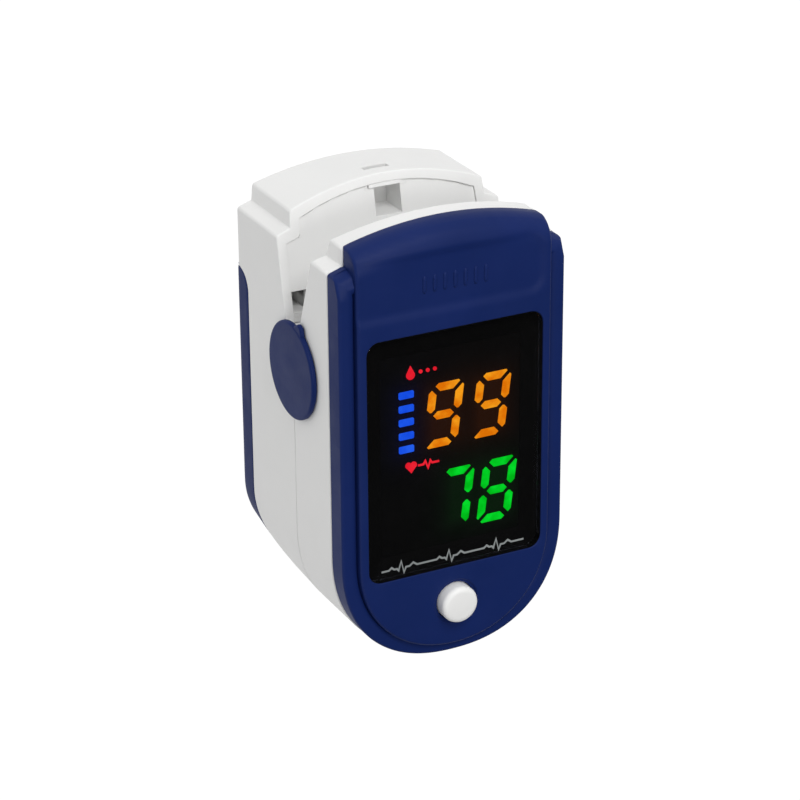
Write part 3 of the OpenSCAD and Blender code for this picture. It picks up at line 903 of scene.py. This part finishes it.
def battery_door():
    tray = door_tray()
    # grip grooves on the underside, near the crowned edge
    for k in range(5):
        boolean(tray, groove_cutter(8.2 + 1.7 * k), "DIFFERENCE")
    rails = [box("rail", xs, (-10.5, 13.2), (2.5, 3.3), BLUE)
             for xs in ((14.4, 15.4), (-15.4, -14.4))]
    ob = join("battery_door_shell", [tray] + rails)
    shade(ob)
    fit(ob, "door", "battery_door")


# ---------------------------------------------------------------- display cover
def scoop(x, y):
    """depth of the thumb scoop, a rounded rectangle between window and squeeze end"""
    radius = 2.6
    qx = abs(x + 1.2) - (14.6 - radius)
    qy = abs(y - 23.6) - (4.4 - radius)
    distance = math.hypot(max(qx, 0), max(qy, 0)) + min(max(qx, qy), 0) - radius
    return 0.26 * (1 - smooth(-0.9, 0.15, distance))


def arc_drop(radius, distance):
    """fall of a rounded edge at a distance from its outer side"""
    return radius - math.sqrt(max(0.0, radius * radius - (radius - distance) ** 2))


def panel_z(x, y):
    z = PANEL_Z - scoop(x, y)
    to_end = arch_y(x, END_Y + PANEL_OUT, END_HALF_W + PANEL_OUT) - y
    if to_end < PANEL_ROLL:
        z -= arc_drop(PANEL_ROLL, max(0.0, to_end))
    return z


def panel_wall():
    # the wall has a rounded edge, and reaches lower, fading over the squeeze end's corners
    first = NOSE_STEPS + PANEL_SIDE_STEPS
    edges = [1 - smooth(first, first + CORNER_STEPS, panel.half_index(i))
             for i in range(panel.count)]
    feet = [COVER_Z - 0.45 * (1 - edge) for edge in edges]
    rings = [[(x, y, foot) for (x, y), foot in zip(panel.loop(0.12), feet)]]
    for share in (0.0, 0.35, 0.7):
        ring = []
        for (x, y), foot in zip(panel.loop(0.0), feet):
            start = foot + 0.12
            ring.append((x, y, start + (min(panel_z(x, y), 30.0) - 0.03 - start) * share))
        rings.append(ring)
    for inset in (0.0, 0.03, 0.08, 0.16, 0.27, 0.36, PANEL_EDGE):
        drop = arc_drop(PANEL_EDGE, inset)
        rings.append([(x, y, panel_z(x, y) - edge * drop)
                      for (x, y), edge in zip(panel.loop(inset), edges)])
    return skin("panel_wall", rings, BLUE)


def window_rings():
    """edge of the window opening"""
    base = divide(rounded_rect(WIN_W + 0.08, WIN_L + 0.08, WIN_R + 0.04, WIN_Y, 8), 1.5)
    core_x, core_y = WIN_W / 2 - WIN_R, WIN_L / 2 - WIN_R
    rings = []
    # distance outwards, offset from the panel's top
    for out, offset in ((0.12, 0.0), (0.06, -0.015), (0.015, -0.05), (0.0, -0.1), (0.0, -1.15)):
        ring = []
        for x, y in base:
            dx = x - max(-core_x, min(core_x, x))
            dy = y - (WIN_Y + max(-core_y, min(core_y, y - WIN_Y)))
            length = math.hypot(dx, dy)
            ring.append((x + dx / length * out, y + dy / length * out, PANEL_Z + offset))
        rings.append(ring)
    return rings


# edge of the button opening: radius, z
BUTTON_EDGE = [
    (3.4, PANEL_Z), (3.32, 32.985), (3.26, 32.94), (3.22, 32.87), (3.19, 32.79),
    (3.14, 32.76), (2.9, 32.74), (2.83, 32.71), (2.8, 32.62), (2.8, 31.3),
]


def sheet_points():
    """grid inside the panel, finer round the scoop and the roll"""
    safe = panel.loop(0.75)
    points = []
    y = -28.5
    while y < 31:
        step = 0.45 if y > 17.4 else 1.6
        x = -14.0
        while x <= 14.0:
            in_window = abs(x) < WIN_W / 2 + 0.55 and abs(y - WIN_Y) < WIN_L / 2 + 0.55
            in_button = math.hypot(x, y - BTN_Y) < 4.0
            if not in_window and not in_button and inside(x, y, safe):
                points.append((x, y))
            x += step
        y += step
    return points


def panel_top(window, button):
    """top of the panel, as a sheet between its edge and the two openings"""
    outer = panel.loop(PANEL_EDGE)
    points, edges = [], []
    for loop in (outer, window, button):
        start, count = len(points), len(loop)
        edges += [(start + k, start + (k + 1) % count) for k in range(count)]
        points += loop
    points = [Vector(p) for p in points + sheet_points()]
    verts, _, triangles, *_ = geometry.delaunay_2d_cdt(points, edges, [], 0, 1e-5)
    faces = []
    for triangle in triangles:
        x = sum(verts[k].x for k in triangle) / len(triangle)
        y = sum(verts[k].y for k in triangle) / len(triangle)
        if inside(x, y, outer) and not inside(x, y, window) and not inside(x, y, button):
            faces.append(tuple(triangle))
    placed = []
    for x, y in verts:
        # flat next to the window
        flat = abs(x) < 13.6 and abs(y - WIN_Y) < 17.8
        placed.append((x, y, PANEL_Z if flat else panel_z(x, y)))
    ob = new_object("panel_top", placed, faces, BLUE)
    tidy(ob)
    return ob


def rim_point(x, y, z):
    # keep the rim inside the panel at the squeeze end
    if y > SHOULDER_Y and abs(x) < 14.6:
        z -= smooth(SHOULDER_Y, 26.7, y) * max(0.0, z - 30.0)
        if y > 26.6:
            y = 26.6 + (y - 26.6) * 0.3
        if y > 26.4:
            x = max(-14.0, min(14.0, x))
    # roll its top down towards the shoulder
    roll_length, roll_drop, roll_foot = 2.6, 2.0, 29.5
    if z > roll_foot and abs(x) > 13.5:
        to_end = SHOULDER_Y - 0.1 + 0.7 * clamp01((16.6 - abs(x)) / 2.1) - y
        if to_end < roll_length:
            t = 1 - max(0, to_end) / roll_length
            drop = roll_drop * (1 - math.sqrt(max(0.0, 1 - t ** 2)))
            z -= drop * (z - roll_foot) / (RIM_Z - roll_foot)
    return x, y, z


def rim():
    """outer rim along the sides and round the finger end"""
    face, edge = 0.1, 0.38
    # inset, z
    rows = [(0.2, COVER_Z), (face, COVER_Z + 0.1), (face, 30.0), (face, RIM_Z - edge)]
    for degrees in (18, 36, 54, 72, 90):
        t = math.radians(degrees)
        rows.append((face + edge * (1 - math.cos(t)), RIM_Z - edge + edge * math.sin(t)))
    rows += [(inset, RIM_Z) for inset in (0.65, 0.82, 0.98, 1.14, 1.3)]
    rows += [(1.5, RIM_Z - 0.01), (1.7, RIM_Z - 0.03), (2.0, RIM_Z - 0.12), (2.2, RIM_Z - 0.28),
             (2.35, RIM_Z - 0.5), (2.75, RIM_Z - 0.7), (2.75, COVER_Z)]
    rings = [[rim_point(*cover_rim.point(i, inset), z) for i in range(cover_rim.count)]
             for inset, z in rows]
    return skin("rim", rings, BLUE, closed=True)


def grip_rib(centre_x):
    half_width, half_length, height, centre_y = 0.3, 1.25, 0.26, 23.4
    rings = []
    for j in range(11):
        t = math.pi * j / 10
        ring = []
        for k in range(21):
            along = -1 + 2 * k / 20
            taper = math.sqrt(max(0.0, 1 - abs(along) ** 6))
            x = centre_x + half_width * math.cos(t) * taper
            y = centre_y + half_length * along
            ring.append((x, y, panel_z(x, y) - 0.05 + height * math.sin(t) * taper))
        rings.append(ring)
    return skin("rib", rings, BLUE, strip=True, merge=FINE_MERGE)


def display_cover():
    window = window_rings()
    button = [at_z(circle(r, 0, BTN_Y, 72), z) for r, z in BUTTON_EDGE]
    parts = [
        panel_wall(),
        skin("window_edge", window, BLUE),
        skin("button_edge", button, BLUE),
        panel_top([p[:2] for p in window[0]], [p[:2] for p in button[0]]),
        rim(),
    ]
    inner = copy_of("display_cover", BLUE)
    boolean(inner, prism(2.6, 10, 32.0))
    tidy(inner)
    parts.append(inner)
    # plain grip ribs in the scoop
    parts += [grip_rib(-4.5 + 1.5 * k) for k in range(7)]
    ob = join("display_cover_shell", parts)
    tidy(ob, 3e-6)
    shade(ob, 32)
    fit(ob, "upper_clip", "display_cover")


# ---------------------------------------------------------------- window and display
# one beat of the printed trace: x, y
BEAT = [
    (0, 0), (1.1, 0), (1.5, 0.32), (1.9, 0), (2.3, 0), (2.55, -0.3), (2.95, 1.0),
    (3.35, -0.75), (3.65, 0), (4.2, 0), (4.75, 0.42), (5.3, 0), (7.2, 0),
]


def display_lens():
    # inset, z
    rows = [(0.35, 31.87), (0.15, 31.9), (0.06, 32.0), (0.06, 32.86), (0.065, 32.91),
            (0.09, 32.935), (0.14, 32.945)]
    rings = [at_z(rounded_rect(WIN_W - 2 * d, WIN_L - 2 * d, WIN_R - d, WIN_Y, 10), z)
             for d, z in rows]
    glass = skin("window_glass", rings, LENS, caps=True)
    # printed pulse trace across the foot of the window
    path = []
    for k in range(3):
        beat = BEAT if k == 0 else BEAT[1:]
        path += [(-11.2 + BEAT[-1][0] * k + x, -16.5 + y) for x, y in beat]
    ink = ribbon("trace", path, 0.27, 32.947, 32.958, INK)
    ob = join("display_window", [glass, ink])
    shade(ob)
    ob.visible_shadow = False
    fit(ob, "upper_clip", "display_lens")


def display_module():
    module_y = -0.9
    # inset, z
    rows = [(0.2, 27.35), (0.0, 27.5), (0.0, 31.2), (0.06, 31.33), (0.2, MODULE_TOP)]
    rings = [at_z(rounded_rect(21.2 - 2 * d, 29 - 2 * d, 0.6, module_y, 5), z) for d, z in rows]
    body = skin("module_body", rings, MODULE, caps=True)

    # black mask between the module and the window: width, length, corner radius, y, z
    rows = [
        (25.96, 34.76, 1.78, WIN_Y, 31.866), (25.96, 34.76, 1.78, WIN_Y, 31.854),
        (23.5, 32.3, 1.0, WIN_Y, 31.854), (20.9, 28.7, 0.5, module_y, 31.405),
        (20.9, 28.7, 0.5, module_y, 31.43), (23.4, 32.2, 1.0, WIN_Y, 31.866),
    ]
    rings = [at_z(rounded_rect(*row[:4], 6), row[4]) for row in rows]
    mask = skin("module_mask", rings, MASK, closed=True)

    # black band round the window's edge, a painted shade sheet standing in for the shadow in the
    # gap beside the glass: width, corner radius, z
    rows = [(25.985, 1.79, 31.86), (25.985, 1.79, 32.93), (25.9, 1.75, 32.93), (25.9, 1.75, 31.86)]
    rings = [at_z(rounded_rect(width, width + WIN_L - WIN_W, radius, WIN_Y, 6), z)
             for width, radius, z in rows]
    band = skin("window_gap_shade", rings, MASK, closed=True, merge=FINE_MERGE)
    ob = join("display_unit", [body, mask, band])
    shade(ob)
    fit(ob, "upper_clip", "display_module")


def display_marks():
    """plain marks beside the two icons: three dots and a small pulse"""
    mark_top = MODULE_TOP + 0.13
    parts = []
    for k in range(3):
        dot = circle(0.27, -4.45 + 1.05 * k, 10.75, 24)
        parts.append(skin("dot", [at_z(dot, MODULE_TOP), at_z(dot, mark_top)], L_RED,
                          caps=True, merge=FINE_MERGE))
    path = [(-4.9, -2.75), (-4.1, -2.75), (-3.8, -2.3), (-3.4, -3.4), (-3.05, -2.35),
            (-2.8, -2.75), (-1.75, -2.75)]
    parts.append(ribbon("pulse", path, 0.26, MODULE_TOP, mark_top, L_RED))
    ob = join("display_marks", parts)
    shade(ob)
    fit(ob, "upper_clip")


# ---------------------------------------------------------------- button and hinge caps
def power_button():
    edge, dome = 0.75, 0.08
    shoulder_z = BTN_Z - dome
    flat_r = BTN_R - edge
    # radius, z: a flange, the side, a rounded edge and a slight dome
    profile = [(0.01, 30.3), (BTN_R + 0.5, 30.3), (BTN_R + 0.7, 30.45), (BTN_R + 0.7, 30.8),
               (BTN_R + 0.55, 30.95), (BTN_R + 0.05, 30.95), (BTN_R, 31.05),
               (BTN_R, 32.6), (BTN_R, shoulder_z - edge)]
    for degrees in (15, 30, 45, 60, 75, 90):
        t = math.radians(degrees)
        profile.append((flat_r + edge * math.cos(t), shoulder_z - edge + edge * math.sin(t)))
    for r in (1.95, 1.5, 1.0, 0.5, 0.01):
        profile.append((r, shoulder_z + dome * (1 - (r / flat_r) ** 2)))
    rings = lathe(profile, lambda x, y, h: (x, BTN_Y + y, h), 96)
    ob = skin("power_button_cap", rings, BUTTON, caps=True, merge=FINE_MERGE)
    shade(ob)
    fit(ob, "button", "power_button")


def cap_tab(sign):
    """small wedge on a hinge cap's edge"""
    angle = math.radians(20.6)
    outward = Vector((0, math.cos(angle), math.sin(angle)))
    around = Vector((0, -math.sin(angle), math.cos(angle)))
    # distance from the hinge's axis, distance round it
    section = [(6.0, -1.5), (6.75, -1.35), (7.62, -0.55), (7.7, -0.4),
               (7.7, 0.4), (7.6, 0.55), (6.75, 1.1), (6.0, 1.3)]
    rings = []
    # inset, x
    for inset, x in ((0.1, 16.82), (0.0, 16.92), (0.0, 17.3), (0.06, 17.42), (0.18, 17.48)):
        ring = []
        for r, t in section:
            r = r - inset if r > 6.2 else r
            point = outward * r + around * (t - math.copysign(inset, t))
            ring.append((sign * x, HINGE_Y + point.y, HINGE_Z + point.z))
        rings.append(ring)
    return skin("tab", rings, BLUE, caps=True, merge=FINE_MERGE)


def hinge_cap(side, sign):
    face_x, edge = 17.55, 0.3
    # radius, distance from the middle of the clip: a pin and a disc
    profile = [(0.01, 8.6), (1.6, 8.6), (1.8, 8.8), (1.8, 16.8), (6.5, 16.8), (6.72, 16.84),
               (6.8, 16.95), (6.8, 17.25)]
    for degrees in (20, 40, 60, 80):
        t = math.radians(degrees)
        profile.append((6.8 - edge + edge * math.cos(t), 17.25 + edge * math.sin(t)))
    for r in (6.3, 5.4, 4.2, 3.0, 1.6, 0.01):
        profile.append((r, face_x + 0.05 * (1 - (r / 6.5) ** 2)))
    rings = lathe(profile, lambda x, y, h: (sign * h, HINGE_Y + x, HINGE_Z + y), 128)
    cap = skin("cap", rings, BLUE, caps=True, merge=FINE_MERGE)
    ob = join("hinge_cap_%s_turned" % side, [cap, cap_tab(sign)])
    shade(ob)
    fit(ob, "lower_clip", "hinge_cap_" + side)


# ---------------------------------------------------------------- springs and cable
def tube(name, path, radius, material):
    """round wire along a path"""
    points = [Vector(p) for p in path]
    rings = []
    normal = (points[1] - points[0]).normalized().orthogonal().normalized()
    for k, point in enumerate(points):
        along = (points[min(k + 1, len(points) - 1)] - points[max(k - 1, 0)]).normalized()
        normal = (normal - along * normal.dot(along)).normalized()
        binormal = along.cross(normal)
        rings.append([tuple(point + normal * x + binormal * y)
                      for x, y in circle(radius, 0, 0, 12)])
    return skin(name, rings, material, caps=True, merge=FINE_MERGE)


def torsion_spring(side, sign):
    coil_r, coil_x, coil_length, coil_steps = 2.9, 9.4, 3.0, 220
    leg_length, leg_steps = 7.2, 12
    tilt = math.radians(20)
    first = math.radians(90 + 20)
    turn = 4 * 2 * math.pi + math.radians(140)

    def on_coil(t):
        angle = first + turn * t
        return Vector((coil_x + coil_length * t, HINGE_Y + coil_r * math.cos(angle),
                       HINGE_Z + coil_r * math.sin(angle)))

    upper_leg = Vector((0, math.cos(tilt), math.sin(tilt)))
    lower_leg = Vector((0, -math.sin(first + turn), math.cos(first + turn)))
    path = [on_coil(0) + upper_leg * (leg_length * k / leg_steps) for k in range(leg_steps, 0, -1)]
    path += [on_coil(k / coil_steps) for k in range(coil_steps + 1)]
    path += [on_coil(1) + lower_leg * (leg_length * k / leg_steps)
             for k in range(1, leg_steps + 1)]
    path = [(sign * p.x, p.y, p.z) for p in path]
    ob = tube("torsion_spring_%s_wound" % side, path, 0.38, STEEL)
    shade(ob, 60)
    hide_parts("torsion_spring_" + side)
    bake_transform(ob)


# corners of the cable's run between the clip's halves: y, z
FLEX_RUN = [
    (-7.9, 12.4), (5.6, 12.4), (6.1, 12.9), (6.1, 15.3), (6.6, 15.8), (10.4, 15.8),
    (11.2, 16.6), (11.2, 21.8), (10.4, 22.6), (8.2, 22.6), (7.6, 23.2), (7.6, 26.1),
]


def flex_cable():
    half_width, half_thickness = 3.0, 0.09
    points = []
    for a, b in zip(FLEX_RUN, FLEX_RUN[1:]):
        pieces = max(2, int(math.hypot(b[0] - a[0], b[1] - a[1]) / 0.3))
        points += [(a[0] + (b[0] - a[0]) * k / pieces, a[1] + (b[1] - a[1]) * k / pieces)
                   for k in range(pieces)]
    points.append(FLEX_RUN[-1])
    # round the corners by averaging neighbours
    for _ in range(3):
        middle = [tuple((a[c] + 2 * b[c] + d[c]) / 4 for c in (0, 1))
                  for a, b, d in zip(points, points[1:], points[2:])]
        points = [points[0]] + middle + [points[-1]]
    section = [(x, -half_thickness) for x in (-half_width, -1, 1, half_width)]
    section += [(x, half_thickness) for x in (half_width, 1, -1, -half_width)]
    rings = []
    for k, (y, z) in enumerate(points):
        a, b = points[max(k - 1, 0)], points[min(k + 1, len(points) - 1)]
        length = math.hypot(b[0] - a[0], b[1] - a[1])
        normal_y, normal_z = -(b[1] - a[1]) / length, (b[0] - a[0]) / length
        rings.append([(x, y + normal_y * t, z + normal_z * t) for x, t in section])
    ob = skin("flex_cable_ribbon", rings, FLEX, caps=True, merge=FINE_MERGE)
    shade(ob)
    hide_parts("flex_cable")
    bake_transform(ob)


# ---------------------------------------------------------------- cells
# radius, distance from the flat end
CELL_PROFILE = [
    (0.01, 0.15), (3.0, 0.15), (3.3, 0.0), (4.6, 0.0), (5.0, 0.1), (5.2, 0.35), (5.25, 0.7),
    (5.25, 42.9), (5.2, 43.3), (4.9, 43.6), (4.5, 43.7), (2.4, 43.62), (1.95, 43.65),
    (1.9, 43.8), (1.9, 44.0), (1.75, 44.17), (1.4, CELL_L), (0.01, CELL_L),
]


def battery(side, sign):
    flipped = side == "right"
    rings = lathe(CELL_PROFILE, lambda x, y, h: (x, h, y), 72)
    ob = skin("cell_%s" % side, rings, CELL, METAL, caps=True, merge=FINE_MERGE)
    # bare metal at both ends
    for face in ob.data.polygons:
        y = face.center.y / MM
        r = math.hypot(face.center.x, face.center.z) / MM
        face.material_index = 1 if (y < 0.3 or y > 43.5) and r < 4.7 else 0
    shade(ob)
    ob.location = (sign * 5.6 * MM, (-25.3 + (CELL_L if flipped else 0)) * MM, 7.2 * MM)
    if flipped:
        ob.rotation_euler = (0, 0, math.pi)
    bpy.context.view_layer.update()
    fit(ob, "lower_clip", "battery_" + side)


# ---------------------------------------------------------------- build
SIDES = (("left", -1), ("right", 1))

upper_housing()
lower_housing()
lower_plate()
display_marks()
battery_door()
display_cover()
display_lens()
display_module()
power_button()
for side_and_sign in SIDES:
    hinge_cap(*side_and_sign)
for side_and_sign in SIDES:
    torsion_spring(*side_and_sign)
flex_cable()
for side_and_sign in SIDES:
    battery(*side_and_sign)

# pieces that show their CAD mesh: material, bevel width
PLAIN = {
    "upper_inner_shell": (WHITE, 0.1),
    "lower_finger_pad": (SILICONE, 0.25), "upper_finger_pad": (SILICONE, 0.25),
    "contact_link": (METAL, 0.05),
    "contact_positive": (METAL, 0.05), "contact_negative": (METAL, 0.05),
    "sensor_board": (BOARD, 0.05), "photodiode": (BLACK, 0.08), "sensor_window": (SENSOR, 0.1),
    "lower_screws": (SCREW, 0.05),
    "oxygen_digits": (L_ORANGE, 0.0), "pulse_digits": (L_GREEN, 0.0),
    "level_bars": (L_BLUE, 0.0), "display_icons": (L_RED, 0.0),
    "main_board": (BOARD, 0.05), "controller_chip": (BLACK, 0.1),
    "tact_switch": (BLACK, 0.1), "switch_plunger": (PLUNGER, 0.12),
    "emitter_board": (BOARD, 0.05), "emitter_led": (LED, 0.1), "emitter_window": (SENSOR, 0.1),
    "upper_screws": (SCREW, 0.05),
}
for piece, (material, bevel_width) in PLAIN.items():
    ob = nodes[piece]
    if not ob.material_slots:
        ob.data.materials.append(material)
    for slot in ob.material_slots:
        slot.material = material
    if bevel_width:
        soften(ob, bevel_width)


# ---------------------------------------------------------------- floor, light, camera
def floor():
    """white floor that glows a little less for everything but the camera"""
    material, tree, coords, surface = new_material("floor")
    drift = noise(tree, coords, scale=8)
    diffuse = add(tree, "BsdfDiffuse", {
        "Color": ramp(tree, drift, (0.05, 0.05, 0.05), (0.06, 0.06, 0.06))})
    seen = add(tree, "LightPath").outputs["Is Camera Ray"]
    glow = add(tree, "Emission", {
        "Strength": map_range(tree, seen, source=(0.0, 1.0), to=(0.82, 1.0))})
    both = add(tree, "AddShader", {0: diffuse.outputs["BSDF"], 1: glow.outputs["Emission"]})
    tree.links.new(both.outputs["Shader"], surface)
    half, z = 3000, -0.02
    corners = [(-half, -half, z), (half, -half, z), (half, half, z), (-half, half, z)]
    new_object("floor", corners, [(0, 1, 2, 3)], material)


def area(name, location, size, power):
    """round lamp aimed at the middle of the clip; places and size in metres"""
    lamp = bpy.data.lights.new(name, "AREA")
    lamp.shape = "DISK"
    lamp.size = size
    lamp.energy = power
    ob = bpy.data.objects.new(name, lamp)
    ob.location = location
    aim = Vector((0, 0, 0.016)) - Vector(location)
    ob.rotation_euler = aim.to_track_quat("-Z", "Y").to_euler()
    bpy.context.scene.collection.objects.link(ob)


def white_room():
    """a white room with one dark wall, whose reflection lies on the window and the cover"""
    world = bpy.data.worlds.new("World")
    bpy.context.scene.world = world
    world.use_nodes = True
    tree = world.node_tree
    background = tree.nodes["Background"]
    background.inputs["Color"].default_value = (1, 1, 1, 1)
    direction = add(tree, "TexCoord").outputs["Generated"]
    dark_wall = (0.412, -0.407, 0.815)
    facing = vector_calc(tree, "DOT_PRODUCT", {0: direction, 1: dark_wall}, "Value")
    strength = map_range(tree, facing, source=(0.55, 0.88), to=(0.48, 0.012),
                         interpolation_type="SMOOTHSTEP")
    tree.links.new(strength, background.inputs["Strength"])


def camera():
    """long lens looking down from the squeeze end at -X; place in metres"""
    lens = bpy.data.cameras.new("Camera")
    lens.sensor_width = 36
    lens.sensor_fit = "HORIZONTAL"
    lens.lens = 133.157727
    ob = bpy.data.objects.new("Camera", lens)
    right = Vector((0.8909963237, -0.0069345635, 0.4539575564))
    up = Vector((0.1903726088, 0.9134422008, -0.3596965606))
    back = Vector((-0.4121696507, 0.4069093974, 0.8151937938))
    matrix = Matrix((right, up, back)).transposed().to_4x4()
    matrix.translation = Vector((-0.16698527, 0.16474325, 0.34688598))
    ob.matrix_world = matrix
    bpy.context.scene.collection.objects.link(ob)
    bpy.context.scene.camera = ob


floor()
area("key", location=(0.02, 0.12, 0.78), size=0.34, power=1.9)
area("front", location=(0.02, 0.64, 0.56), size=0.4, power=2.85)
white_room()
bpy.context.scene.view_settings.view_transform = "Standard"
bpy.context.scene.view_settings.look = "None"
camera()
